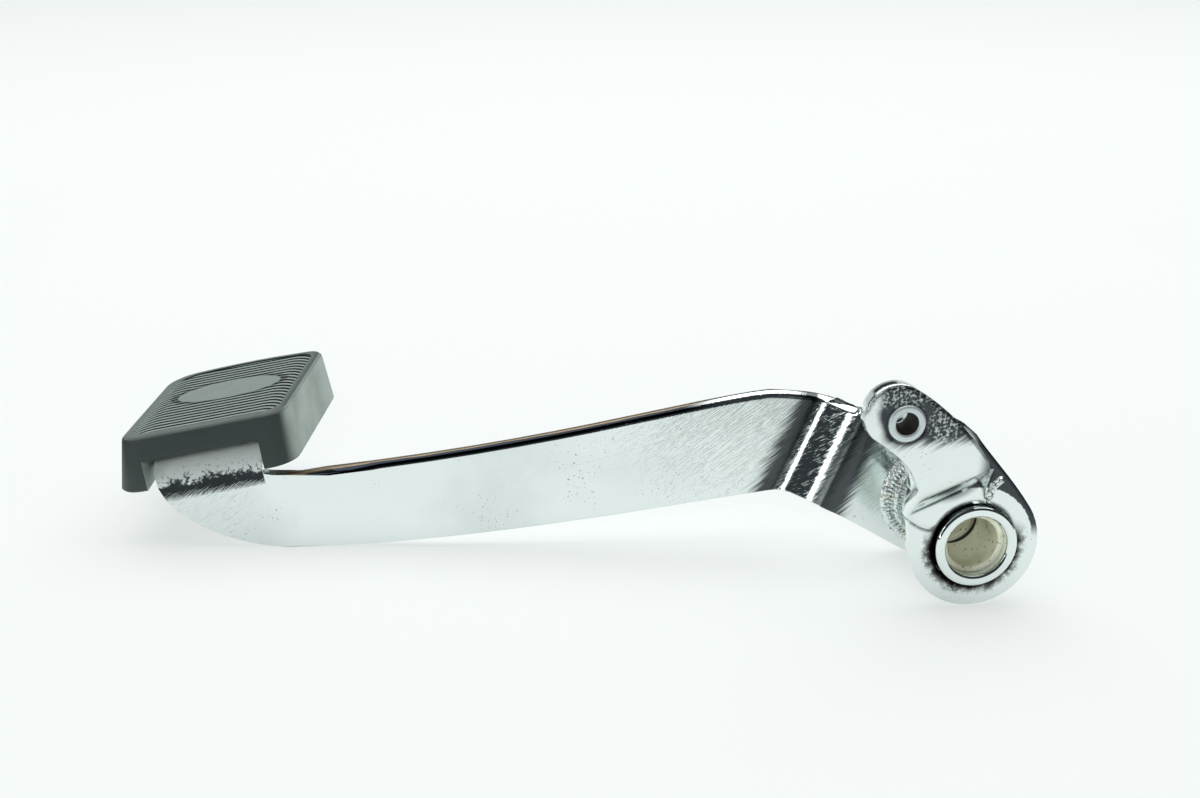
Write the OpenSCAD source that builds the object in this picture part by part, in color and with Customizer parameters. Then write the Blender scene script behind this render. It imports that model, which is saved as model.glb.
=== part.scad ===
// Brake pedal of a motorcycle: a folded steel arm and a joggled rod lever
// welded to a pivot tube, with pressed-in bushes and a stretched-on rubber pad.
// The pivot axis is Y, with the mouth of the front bush at y = 0.
// The arm runs towards -X, and the pedal stands on its lower edges.

/* [Pivot tube] */
// Outside diameter of the pivot tube
tube_d = 25.4; // [24.4:0.2:27]
// Inside diameter of the pivot tube, in which the bushes are pressed
tube_bore_d = 19.05; // [18:0.05:20.5]
// Length of the pivot tube
tube_len = 49; // [42:0.5:58]
// Chamfer on both ends of the pivot tube
tube_chamfer = 0.6; // [0.2:0.1:1.2]

/* [Bushes] */
// Bore of both pivot bushes
bush_bore_d = 15.88; // [14.5:0.02:17]
// Gap left between the two bushes for grease
bush_gap = 4; // [2:0.5:8]
// Depth of each bush below its end of the tube
bush_recess = 3.5; // [1:0.5:4]
// Chamfer at the mouth of each bush
bush_chamfer = 0.5; // [0.2:0.1:0.9]

/* [Sheet steel] */
// Thickness of the arm's strip
strip_t = 4.8; // [4:0.1:5.6]
// Thickness of the hub plate and the rod lever
plate_t = 4.8; // [4:0.1:5.2]

/* [Hub plate] */
// Distance of the hub plate's front face behind the tube's front face
hub_set_back = 2.7; // [1.5:0.1:4]
// Radius of the hub plate and of the arm's lug about the pivot
hub_r = 20; // [18.5:0.25:22]
// Radial gap between the hub plate's hole and the tube
hub_hole_gap = 0.5; // [0.2:0.1:0.8]
// Radius of the hub plate's hidden upper end
hub_top_r = 6.6; // [6.2:0.1:7.2]

/* [Rod lever] */
// Distance of the rod eye from the pivot along X
eye_x = 26.6; // [24:0.2:29]
// Height of the rod eye above the pivot
eye_z = 43.2; // [41:0.2:46]
// Radius of the lever's round end
ear_r = 9.4; // [8.5:0.1:10]
// Distance from the rod eye out to the centre of the lever's round end
ear_lead = 3.8; // [3:0.1:4.5]
// Step of the joggle that brings the lever's upper part forward of the hub plate
ear_step = 9.8; // [8.5:0.1:11]
// Inside radius of the joggle's two bends
ear_bend_r = 2; // [1.5:0.1:3]
// Angle of the joggle's slope
ear_jog_angle = 50; // [42:1:60]
// Tilt of the joggle's creases from level
ear_crease_tilt = 22.5; // [18:0.5:26]
// Distance of the joggle's lower crease from the pivot axis
ear_crease_r = 17; // [16:0.25:18]

/* [Rod eye bush] */
// Outside diameter of the rod eye bush
eye_bush_d = 11.2; // [10:0.1:12]
// Bore of the rod eye bush
eye_bore_d = 6.5; // [5.5:0.1:7.5]
// Radial gap round the rod's pin in the hub plate behind the eye
eye_pin_gap = 0.6; // [0.3:0.1:1]
// Length that the bush stands proud of the lever
eye_proud = 0.7; // [0.3:0.1:1.5]
// Width of the chamfer at the bush's mouth
eye_chamfer = 0.5; // [0.3:0.1:0.8]

/* [Arm] */
// Length of tube that stands out behind the arm's lug
lug_proud = 2.2; // [1:0.1:4]
// Lean of the arm's fold lines from upright
fold_lean = 24; // [20:0.5:28]
// Distance of the first fold from the pivot, square to the fold line
jog_start = 26.5; // [24:0.25:29]
// Steepest angle of the joggle between the lug and the blade
jog_angle = 52; // [45:1:58]
// Radius of the joggle's bends at mid thickness
jog_r = 11; // [9:0.5:13]
// Flat length between the joggle's two bends
jog_flat = 7; // [4:0.5:9]
// Angle that the blade keeps to the lug after the joggle
blade_yaw = 9.5; // [7:0.5:11]
// Reach of the blade's tip from the pivot
arm_reach = 247; // [240:1:256]
// Height of the arm's crest above the pivot
crest_z = 32.4; // [31:0.2:34]
// Height of the lower edge under the crest
crest_low_z = -0.3; // [-1.5:0.1:1]
// Distance of the blade's lowest point from the tip
heel_back = 47; // [42:1:52]
// Distance of the notch beside the rolled flange from the tip
notch_back = 38; // [37:0.5:39.5]
// Height of the blade's upper edge at the notch
notch_z = 4.6; // [3.5:0.1:6]

/* [Rolled flange and platform] */
// Slope of the rolled flange along the blade
roll_slope = 11; // [9:0.5:13]
// Inside radius of the rolled flange
roll_r = 9; // [8:0.2:10]
// Distance of the flange's middle from the tip
roll_back = 18; // [17:0.5:19]
// Drop of the line where the roll leaves the blade
roll_drop = 2; // [1:0.1:3]
// Reach of the flange to the right of its middle
roll_right = 18.4; // [17.5:0.1:19]
// Rise of the platform towards its back edge
plat_pitch = 4; // [2:0.25:7]
// Width of the platform under the rubber
plat_w = 47; // [44:0.5:49]
// Depth of the platform behind the roll's axis
plat_d = 49.5; // [46:0.5:51]
// Corner radius of the platform
plat_corner = 6; // [4:0.5:8]
// Skew of the pad's and the platform's sides over their depth
pad_skew = 3; // [0:0.25:6]

/* [Rubber pad] */
// Width of the pad at its foot
pad_w = 60.5; // [57:0.5:62]
// Depth of the pad at its foot
pad_d = 70.5; // [68:0.5:73]
// Thickness of rubber from the platform to the rim
pad_top = 10; // [8.5:0.25:11]
// Height of the lip below the platform
pad_lip = 3; // [2.5:0.25:4]
// How far the lip grips in under the platform
pad_grip = 6; // [4:0.5:8]
// How far the pad's front stands before the roll's axis
pad_front = 14.4; // [13.9:0.1:15.5]
// Inward draft of the pad's sides from foot to rim
pad_draft = 2.2; // [1.6:0.1:2.8]
// Sideways lean of the pad's rim against its foot
pad_lean = 2.2; // [0:0.1:3]
// Bow of the pad's back edge
pad_bow = 1.5; // [0:0.25:3]
// Radius of the pad's upright corners
pad_corner = 9; // [7:0.5:11]
// Radius of the pad's far corner on the outer end
pad_far_corner = 15; // [9:0.5:17]
// Rounding of the rim's outer edge
rim_round = 2; // [1:0.25:2.5]
// Width of the smooth rim round the ribbed field
rim_w = 3.4; // [3:0.2:4.5]
// Depth of the ribbed field below the rim
field_depth = 1.8; // [1.4:0.1:2.2]
// Distance from one rib to the next
rib_pitch = 2.9; // [2.5:0.05:3.4]
// Height of the ribs
rib_h = 1.3; // [0.8:0.1:1.4]
// Length over which both ends of a rib bend towards the front
rib_hook_l = 7; // [4:0.5:10]
// How far the ends of a rib bend towards the front
rib_hook = 4.5; // [2:0.5:6]
// Length of the bare oval on the pad
oval_l = 36; // [32:0.5:38]
// Width of the bare oval on the pad
oval_w = 20; // [16:0.5:24]
// Distance of the oval's middle behind the middle of the pad
oval_back = 5; // [0:0.5:8]
// Side clearance of the notch round the rolled flange
notch_gap = 1; // [0.6:0.1:1.6]

/* [Welds] */
// Leg of the fillet weld between the arm's lug and the tube
arm_weld_leg = 4.6; // [3.5:0.1:5.5]
// Leg of the hidden fillet weld behind the hub plate
hub_weld_leg = 3; // [2:0.1:4]
// Width of the weld bead beside the lever's foot
ear_bead_w = 3; // [2:0.1:3.4]

/* [Hidden] */
fine = 96;
small = 48;
over = 1;
arc_steps = 10;
curve_steps = 14;

tube_r = tube_d / 2;
tube_y = -bush_recess;
bush_len = (tube_len - 2 * bush_recess - bush_gap) / 2;
hub_front_y = tube_y + hub_set_back;
lug_y = tube_y + tube_len - lug_proud - strip_t;
heel_x = arm_reach - heel_back;
notch_x = arm_reach - notch_back;
roll_x = arm_reach - roll_back;
hub_hole_r = tube_r + hub_hole_gap;
hub_back_y = hub_front_y + plate_t;
foot_y = hub_front_y;
ear_y = foot_y - ear_step;
eye = [-eye_x, eye_z];
ear_mid = eye + ear_lead * [-cos(ear_crease_tilt + 16), sin(ear_crease_tilt + 16)];

// Point on a cubic curve with end points a, d and handles b, c
function curve_at(a, b, c, d, f) =
    pow(1 - f, 3) * a + 3 * pow(1 - f, 2) * f * b + 3 * (1 - f) * f * f * c + pow(f, 3) * d;
// Points along that curve, without its first one
function curve(a, b, c, d, n = curve_steps) = [for (i = [1:n]) curve_at(a, b, c, d, i / n)];
// Points on an arc from angle a0 to a1
function arc(centre, r, a0, a1, n = arc_steps) =
    [for (i = [0:n]) centre + r * [cos(a0 + (a1 - a0) * i / n), sin(a0 + (a1 - a0) * i / n)]];
function on_circle(r, a) = r * [cos(a), sin(a)];

// Prism along Y of an outline in the XZ plane, from y0 to y1
module plate(y0, y1) {
    translate([0, y1, 0])
        rotate([90, 0, 0])
            linear_extrude(y1 - y0)
                children();
}

// Ring round the pivot from a section of radius against distance along Y
module turned(pts) {
    rotate([-90, 0, 0])
        rotate_extrude($fn = fine)
            polygon(pts);
}

module pivot_tube() {
    c = tube_chamfer;
    y0 = tube_y;
    y1 = tube_y + tube_len;
    ri = tube_bore_d / 2;
    color("gainsboro")
        turned([[ri, y0 + c], [ri + c, y0], [tube_r - c, y0], [tube_r, y0 + c],
                [tube_r, y1 - c], [tube_r - c, y1], [ri + c, y1], [ri, y1 - c]]);
}

// One pressed-in bush, its mouth at y0
module bush(y0) {
    ri = bush_bore_d / 2;
    ro = tube_bore_d / 2;
    c = bush_chamfer;
    color("darkkhaki")
        turned([[ri, y0 + c], [ri + c, y0], [ro, y0], [ro, y0 + bush_len],
                [ri + c, y0 + bush_len], [ri, y0 + bush_len - c]]);
}

module front_bush() {
    bush(0);
}

module rear_bush() {
    bush(bush_len + bush_gap);
}

// Hub plate: round foot about the pivot, straight flank up to a rounded end behind the lever
hub_flank_a = 33;
hub_left_a = 174;
hub_side = [-20.9, 10];
hub_shoulder = [-1.6, 35];

module hub_outline() {
    low = on_circle(hub_r, hub_flank_a);
    side_top = hub_side + [0.3, 10];
    top = arc(eye, hub_top_r, 54, 212);
    foot = arc([0, 0], hub_r, hub_left_a, 360 + hub_flank_a, 3 * arc_steps);
    flank = curve(low, low + [-6, 9.4], hub_shoulder + [4.2, -6.2], hub_shoulder, 8);
    left = curve(top[arc_steps], top[arc_steps] + [4.5, -5], side_top + [-1.2, 8], side_top, 6);
    polygon(concat(foot, flank, [hub_shoulder + [-4, 3.6]], top, left, [hub_side]));
}

// Opening in the hub plate, which the lever's foot fills up to where its joggle clears the plate
module lever_opening() {
    top_s = ear_crease_r + jog_out * sin(ear_jog_angle)
            + (plate_t - jog_out * (1 - cos(ear_jog_angle))) / tan(ear_jog_angle) + ear_clear;
    intersection() {
        lever_outline();
        rotate(ear_crease_tilt)
            translate([-4 * hub_r, -4 * hub_r])
                square([8 * hub_r, 4 * hub_r + top_s]);
    }
    polygon(relief);
}

module hub_plate() {
    color("silver")
        difference() {
            plate(hub_front_y, hub_back_y)
                difference() {
                    hub_outline();
                    lever_opening();
                }
            plate(hub_front_y - over, hub_back_y + over)
                circle(hub_hole_r, $fn = fine);
            plate(hub_front_y - over, hub_back_y + over)
                translate(eye)
                    circle(eye_bore_d / 2 + eye_pin_gap, $fn = small);
        }
}

// Rod lever: section across its creases, as [distance up the lever, y]
jog_in = ear_bend_r;
jog_out = ear_bend_r + plate_t;
jog_mid = ear_bend_r + plate_t / 2;
ear_slope_len = (ear_step - 2 * jog_mid * (1 - cos(ear_jog_angle))) / sin(ear_jog_angle);
ear_run = 2 * jog_mid * sin(ear_jog_angle) + ear_slope_len * cos(ear_jog_angle);

function lever_side(front) =
    let (r_low = front ? jog_in : jog_out,
         r_high = front ? jog_out : jog_in,
         y_foot = front ? foot_y : foot_y + plate_t,
         y_top = front ? ear_y : ear_y + plate_t,
         low = [ear_crease_r, foot_y - ear_bend_r],
         high = [ear_crease_r + ear_run, ear_y + plate_t + ear_bend_r])
    concat([[-hub_r, y_foot]],
           arc(low, r_low, 90, 90 - ear_jog_angle),
           arc(high, r_high, 270 - ear_jog_angle, 270),
           [[3 * hub_r + eye_z, y_top]]);

module lever_fold() {
    front = lever_side(true);
    back = lever_side(false);
    rotate([0, -ear_crease_tilt, 0])
        translate([-2 * eye_z, 0, 0])
            rotate([90, 0, 90])
                linear_extrude(4 * eye_z)
                    polygon([for (p = concat(front, [for (i = [len(back) - 1:-1:0]) back[i]]))
                             [p[1], p[0]]]);
}

// Lever outline: round end, convex outer flank, foot round the tube, hollow inner flank
ear_out_a = 60;
ear_in_a = 222;
ear_clear = 0.4;
foot_left = [-21.2, 19];
outer_end = [-1.4, 30.6];
toe_in = [-0.4, 22.2];
toe_low = [2.2, 17];
toe_foot = [3, 11.5];
seam = [[-11, 6.4], [-13.8, 5.4], [-17, 6.6], [-21.5, 9.6]];
// Torn relief beside the foot of the joggle
relief = [toe_in + [-0.6, 0.8], toe_in + [1.4, 1.6], toe_in + [4.8, 1.5], toe_in + [3.7, -1.6], toe_low];

module lever_outline() {
    out_start = ear_mid + on_circle(ear_r, ear_out_a);
    in_start = ear_mid + on_circle(ear_r, ear_in_a);
    end_arc = arc(ear_mid, ear_r, ear_in_a, ear_out_a, 2 * arc_steps);
    outer = curve(out_start, out_start + [9.5, -5.5], outer_end + [-5, 8], outer_end, 8);
    inner = curve(foot_left, foot_left + [-0.3, 9.5], in_start + [6.5, -4.5], in_start, 10);
    polygon(concat(end_arc, outer, [outer_end + [1.5, -4.6], toe_in, toe_low, toe_foot], seam, inner));
}

module rod_lever() {
    color("silver")
        difference() {
            intersection() {
                lever_fold();
                plate(ear_y - over, hub_back_y + over)
                    lever_outline();
            }
            plate(ear_y - 2 * over, hub_back_y + 2 * over)
                circle(hub_hole_r, $fn = fine);
            plate(ear_y - 2 * over, hub_back_y + 2 * over)
                translate(eye)
                    circle(d = eye_bush_d, $fn = small);
        }
}

module rod_eye_bush() {
    ri = eye_bore_d / 2;
    ro = eye_bush_d / 2;
    c = eye_chamfer;
    y0 = ear_y - eye_proud;
    color("lightsteelblue")
        translate([eye[0], 0, eye[1]])
            turned([[ri, y0 + c], [ri + c, y0], [ro - c, y0], [ro, y0 + c], [ro, hub_front_y],
                    [ri, hub_front_y]]);
}

// Fillet weld round the tube, with its legs on the tube and on the face at y
module tube_weld(y, leg, side) {
    turned([[tube_r, y], [tube_r + leg, y], [tube_r + leg * 0.4, y + side * leg * 0.45],
            [tube_r, y + side * leg]]);
}

module arm_weld() {
    color("darkgray")
        tube_weld(lug_y, arm_weld_leg, -1);
}

module hub_weld() {
    color("darkgray")
        tube_weld(hub_back_y, hub_weld_leg, 1);
}

// Bead that closes the seam beside the lever's foot, laid on the front of the hub plate
bead_path = [[3.6, 15.2], [4.6, 18.4], [6.8, 20.2]];

module bead_spot(i) {
    r = ear_bead_w / 2;
    translate([bead_path[i][0], hub_front_y, bead_path[i][1]])
        rotate([90, 0, 0])
            cylinder(h = 0.8 * r, r1 = r, r2 = r / 2, $fn = arc_steps);
}

module lever_weld() {
    color("silver")
        for (i = [1:len(bead_path) - 1])
            hull() {
                bead_spot(i - 1);
                bead_spot(i);
            }
}

// Arm: section across the folds, as [distance along the strip, y], run from the lug to the blade
lug_mid_y = lug_y + strip_t / 2;
fold_b = [-jog_start, lug_mid_y + jog_r];
slope_start = fold_b + jog_r * [-sin(jog_angle), -cos(jog_angle)];
slope_end = slope_start + jog_flat * [-cos(jog_angle), sin(jog_angle)];
fold_a = slope_end + jog_r * [-sin(jog_angle), -cos(jog_angle)];
blade_start = fold_a + jog_r * [sin(blade_yaw), cos(blade_yaw)];
blade_run = 1.2 * arm_reach;
blade_far = blade_start + blade_run * [-cos(blade_yaw), sin(blade_yaw)];

function strip_side(k) =
    concat([[2 * hub_r, lug_mid_y + k]],
           arc(fold_b, jog_r - k, -90, -90 - jog_angle),
           arc(fold_a, jog_r + k, 90 - jog_angle, 90 - blade_yaw),
           [blade_far + k * [sin(blade_yaw), cos(blade_yaw)]]);

module strip_fold() {
    front = strip_side(-strip_t / 2);
    back = strip_side(strip_t / 2);
    rotate([0, fold_lean, 0])
        translate([0, 0, -arm_reach])
            linear_extrude(2 * arm_reach)
                polygon(concat(front, [for (i = [len(back) - 1:-1:0]) back[i]]));
}

// Arm outline seen along the pivot
lug_top_a = 68;
lug_low_a = 238;
lug_top = on_circle(hub_r, lug_top_a);
lug_low = on_circle(hub_r, lug_low_a);
crest = [-50, crest_z];
under_crest = [-48, crest_low_z];
notch = [-notch_x, notch_z];
heel = [-heel_x, -hub_r];
tip = [-arm_reach, 3.4];
flange_top = 30;
function toe_points() = curve(tip, tip + [2.4, -13], heel + [-23, -0.8], heel, 10);

module arm_outline() {
    lug = arc([0, 0], hub_r, lug_low_a, 360 + lug_top_a, 3 * arc_steps);
    lug_up = curve(lug_top, lug_top + 27 * [-sin(lug_top_a), cos(lug_top_a)], crest + [16, 0], crest, 8);
    upper = curve(crest, crest + [-25, -3], notch + [86, 9], notch);
    flange = [notch + [-2.6, 0.4], [notch[0] - 8, flange_top], [-arm_reach, flange_top], tip];
    lower = curve(heel, heel + [50, 1.6], under_crest + [-46, -8], under_crest);
    lug_in = curve(under_crest, under_crest + [10, 1.2],
                   lug_low + 20 * [sin(lug_low_a), -cos(lug_low_a)], lug_low, 8);
    polygon(concat(lug, lug_up, upper, flange, toe_points(), lower, lug_in));
}

// Frame of the rolled flange: X along the fold, Y square to the blade, Z up the blade
roll_turn = atan(tan(roll_slope + fold_lean) * cos(blade_yaw));
roll_axis_y = strip_t / 2 + roll_r;
// Distances along the blade and across it to the flange's middle, level with the pivot
blade_down = (-roll_x * cos(fold_lean) - blade_start[0]) / cos(blade_yaw);
blade_up = -roll_x * sin(fold_lean);

module on_roll() {
    rotate([0, fold_lean, 0])
        translate([blade_start[0], blade_start[1], 0])
            rotate([0, 0, -blade_yaw])
                translate([blade_down, 0, blade_up])
                    rotate([0, -roll_turn, 0])
                        translate([0, 0, -roll_drop])
                            children();
}

// Frame of the platform: origin on the roll's axis, Y along the platform, Z square to it
module on_platform() {
    on_roll()
        translate([0, roll_axis_y, 0])
            rotate([plat_pitch, 0, 0])
                children();
}

neck_l = 2 * roll_right;
plat_mid = 1;
plat_z = roll_r + strip_t;
// Amount by which the roll is set inside the flat parts that it joins
lap = 0.02;
lap_l = 0.6;
// Step at both sides of the neck where the roll ends, under the rubber
neck_step = 0.8;

// Roll as a bent section [y, z] in its own frame, with short laps into the blade and the platform
module neck() {
    outer = arc([roll_axis_y, 0], plat_z - lap, 180, 90 + plat_pitch);
    inner = arc([roll_axis_y, 0], roll_r + lap, 90 + plat_pitch, 180);
    along = lap_l * [cos(plat_pitch), sin(plat_pitch)];
    on_roll()
        translate([-neck_l, 0, 0])
            rotate([90, 0, 90])
                linear_extrude(neck_l + roll_right)
                    polygon(concat([outer[0] - [0, lap_l]], outer, [outer[arc_steps] + along, inner[0] + along],
                                   inner, [inner[arc_steps] - [0, lap_l]]));
}

// Left end of the roll, which follows the toe of the blade
module toe_outline() {
    translate([lap, 0])
        polygon(concat([[-arm_reach, 2 * flange_top], tip], toe_points(),
                       [heel + [3 * neck_l, 0], [heel[0] + 3 * neck_l, 2 * flange_top]]));
}

// Four-cornered plan, skewed over its depth, with rounded corners of radius r and a bowed back
module skewed_plan(w, y0, y1, r, bow = 0, far_r = 0) {
    k = tan(pad_skew);
    steps = 7;
    r_far = max(r, far_r);
    x_right = plat_mid + w / 2 - r;
    x_left = plat_mid - w / 2 + r;
    x_far = plat_mid - w / 2 + r_far;
    back = bow == 0 ? [] : [for (f = [0.15:0.175:0.85])
        [x_right + k * y1 + f * (x_far - x_right), y1 + 4 * bow * f * (1 - f)]];
    polygon(concat(arc([x_right + k * y0, y0 + r], r, -90, 0, steps),
                   arc([x_right + k * y1, y1 - r], r, 0, 90, steps),
                   back,
                   arc([x_far + k * y1, y1 - r_far], r_far, 90, 180, steps),
                   arc([x_left + k * y0, y0 + r], r, 180, 270, steps)));
}

module platform() {
    on_platform()
        translate([0, 0, roll_r])
            linear_extrude(strip_t)
                plat_plan();
}

module plat_plan() {
    skewed_plan(plat_w, 1, plat_d, plat_corner, 0, 2 * plat_corner);
    translate([neck_step - roll_right, 0])
        square([neck_l - 1.5 * neck_step, 2 * plat_corner]);
}

module pedal_arm() {
    color("gainsboro")
        difference() {
            union() {
                difference() {
                    intersection() {
                        strip_fold();
                        plate(lug_y - 4 * over, 3 * lug_y)
                            arm_outline();
                    }
                    on_roll()
                        translate([roll_right - lap - 4 * neck_l, -4 * strip_t, 0])
                            cube([4 * neck_l, 8 * strip_t, 4 * neck_l]);
                }
                intersection() {
                    neck();
                    plate(lug_y - 4 * over, 3 * lug_y)
                        toe_outline();
                }
                platform();
            }
            plate(lug_y - over, lug_y + strip_t + over)
                circle(tube_r, $fn = fine);
        }
}

// Rubber pad in the frame of the platform
pad_foot_z = roll_r - pad_lip;
pad_rim_z = plat_z + pad_top;
pad_y0 = -pad_front;
pad_y1 = pad_y0 + pad_d;
field_y0 = pad_y0 + pad_draft + rim_w;
field_y1 = pad_y1 - pad_draft - rim_w;
field_w = pad_w - 2 * pad_draft - 2 * rim_w;
rib_count = floor((field_y1 - field_y0 - 1) / rib_pitch);

module pad_layer(z, inset) {
    translate([pad_lean * (z - pad_foot_z) / (pad_rim_z - pad_foot_z), 0, z])
        linear_extrude(0.01)
            skewed_plan(pad_w - 2 * inset, pad_y0 + inset, pad_y1 - inset, pad_corner - inset, pad_bow,
                        pad_far_corner - inset);
}

module pad_body() {
    hull() {
        pad_layer(pad_foot_z, 0.6);
        pad_layer(pad_foot_z + 0.6, 0);
        for (a = [0:30:90])
            pad_layer(pad_rim_z - 0.01 - rim_round * (1 - sin(a)), pad_draft + rim_round * (1 - cos(a)));
    }
}

module pad_field(grow) {
    translate([pad_lean, 0])
        skewed_plan(field_w + 2 * grow, field_y0 - grow, field_y1 + grow, pad_corner - rim_w, pad_bow,
                    pad_far_corner - rim_w);
}

module oval(grow) {
    oval_y = (pad_y0 + pad_y1) / 2 + oval_back;
    translate([plat_mid + pad_lean + tan(pad_skew) * oval_y, oval_y])
        scale([(oval_l + 2 * grow) / oval_w, (oval_w + 2 * grow) / oval_w])
            circle(d = oval_w, $fn = small);
}

// Edge of a rib in plan, which bends towards the front at both ends
hook_steps = 5;
function rib_bend(x) =
    let (u = max(0, abs(x) - field_w / 2 + rib_hook_l) / rib_hook_l)
    -rib_hook * u * u;
rib_x = concat([for (i = [0:hook_steps]) -field_w / 2 - over + (rib_hook_l + over) * i / hook_steps],
               [for (i = [0:hook_steps]) field_w / 2 - rib_hook_l + (rib_hook_l + over) * i / hook_steps]);
function rib_edge(y) = [for (x = rib_x) [x, y + rib_bend(x)]];
function turned_round(pts) = [for (i = [len(pts) - 1:-1:0]) pts[i]];

// Ribs run along the fold, each a narrow flat-topped bar
module ribs() {
    w = 0.5 * rib_pitch;
    translate([0, 0, pad_rim_z - field_depth - 0.2])
        linear_extrude(rib_h + 0.2)
            difference() {
                intersection() {
                    for (i = [0:rib_count])
                        translate([plat_mid + pad_lean + tan(pad_skew) * (field_y0 + i * rib_pitch), 0])
                            polygon(concat(rib_edge(field_y0 + (i + 0.7) * rib_pitch),
                                           turned_round(rib_edge(field_y0 + (i + 0.7) * rib_pitch + w))));
                    pad_field(0.2);
                }
                oval(0);
            }
}

// Space for the platform, the opening under it and the notch for the neck
module pad_space() {
    ceiling = plat_z + 2;
    translate([0, 0, roll_r])
        linear_extrude(strip_t)
            plat_plan();
    translate([0, 0, pad_foot_z - over])
        linear_extrude(pad_lip + 2 * over)
            skewed_plan(plat_w - 2 * pad_grip, 1, plat_d - pad_grip, plat_corner);
    translate([roll_right - neck_l - notch_gap, 0, 0])
        rotate([90, 0, 90])
            linear_extrude(neck_l + 2 * notch_gap)
                polygon([[pad_y0 - 6, 0], [pad_y0 - 6, ceiling + 1], [pad_y0, ceiling], [-1, plat_z],
                         [plat_corner + 6, plat_z], [plat_corner + 6, 0]]);
}

module pad_rubber() {
    color("dimgray")
        on_platform() {
            difference() {
                pad_body();
                translate([0, 0, pad_rim_z - field_depth])
                    linear_extrude(2 * field_depth)
                        difference() {
                            pad_field(0);
                            oval(0);
                        }
                translate([0, 0, pad_rim_z - 0.5])
                    linear_extrude(field_depth)
                        oval(0.5);
                pad_space();
            }
            ribs();
        }
}

pedal_arm();
pivot_tube();
front_bush();
rear_bush();
hub_plate();
rod_lever();
rod_eye_bush();
arm_weld();
hub_weld();
lever_weld();
pad_rubber();
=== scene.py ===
"""Finished look of a motorcycle's foot brake pedal: worn chrome, greasy bushes and a ribbed rubber pad."""

import logging
import math
from dataclasses import dataclass, field
from enum import Enum
from typing import Sequence

import bmesh
import bpy
from mathutils import Matrix, Vector


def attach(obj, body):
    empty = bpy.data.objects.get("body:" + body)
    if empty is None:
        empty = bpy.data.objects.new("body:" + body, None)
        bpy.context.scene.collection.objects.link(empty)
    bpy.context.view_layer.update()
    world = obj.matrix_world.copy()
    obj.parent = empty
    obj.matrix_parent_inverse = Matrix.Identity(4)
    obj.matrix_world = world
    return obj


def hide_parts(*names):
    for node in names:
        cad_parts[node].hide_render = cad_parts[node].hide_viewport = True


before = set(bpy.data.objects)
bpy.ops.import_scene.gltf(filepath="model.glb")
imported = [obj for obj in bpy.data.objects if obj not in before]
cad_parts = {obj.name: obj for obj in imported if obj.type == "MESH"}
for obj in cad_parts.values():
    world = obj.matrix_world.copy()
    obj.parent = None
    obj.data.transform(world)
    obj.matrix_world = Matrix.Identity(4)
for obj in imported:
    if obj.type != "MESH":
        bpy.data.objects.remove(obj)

logging.basicConfig(level=logging.INFO, format="%(message)s")
log = logging.getLogger("brake_pedal")

MM = 0.001
FLOOR_Z = -20.0 * MM
EYE = (-26.6, 43.2)
PIT_DEPTH = 0.08 * MM
SAME_POINT = 2e-6
FLAT_ANGLE = 0.6
SENSOR_MM = 36
RIPPLE_SIDES = 12
RIPPLE_RINGS = 8
Pair = tuple[float, float]


class Slot(Enum):
    """Material slots of the record."""

    ARM = "chrome_arm"
    HUB = "chrome_hub"
    TUBE = "chrome_tube"
    BUSH = "bush_metal"
    WELD = "weld_metal"
    PAD = "pad_rubber"


class Shade(Enum):
    """Linear colours taken over the whole object."""

    CHROME = (0.80, 0.865, 0.85, 1.0)
    CHROME_CLOUDY = (0.69, 0.755, 0.74, 1.0)
    # Frosted plating of the roll, brightened as a painted highlight.
    FROST_WITH_HIGHLIGHT = (0.90, 0.98, 0.955, 1.0)
    # Painted reflection of the dark room on the chrome.
    DARK_ROOM_REFLECTION = (0.022, 0.026, 0.034, 1.0)
    CHROME_GREY = (0.16, 0.18, 0.20, 1.0)
    WORN_EDGE = (0.20, 0.16, 0.105, 1.0)
    # Real grime and pits, and also the painted shade on the tube's wall by the hub plate.
    GRIME_AND_SHADE = (0.012, 0.011, 0.009, 1.0)
    WELD_DIRT = (0.11, 0.10, 0.09, 1.0)
    HEAT_TINT = (0.62, 0.58, 0.36, 1.0)
    ZINC = (0.66, 0.74, 0.75, 1.0)
    # Oily dark of the bores, also painted shade inside them.
    OIL_AND_SHADE = (0.050, 0.044, 0.032, 1.0)
    # Bronze brightened beyond its own colour, as painted light inside the bores.
    LIT_BRONZE = (0.96, 0.97, 0.80, 1.0)
    BRONZE_DARK = (0.60, 0.60, 0.40, 1.0)
    RUBBER = (0.031, 0.047, 0.044, 1.0)
    RUBBER_DARK = (0.036, 0.048, 0.046, 1.0)
    # Painted shade in the pad's grooves and round its oval.
    RUBBER_GROOVE_SHADE = (0.013, 0.018, 0.018, 1.0)
    RUBBER_PALE = (0.125, 0.160, 0.145, 1.0)
    # Dust, and a painted highlight on the ribs' crowns.
    DUST_AND_HIGHLIGHT = (0.39, 0.47, 0.425, 1.0)


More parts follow.
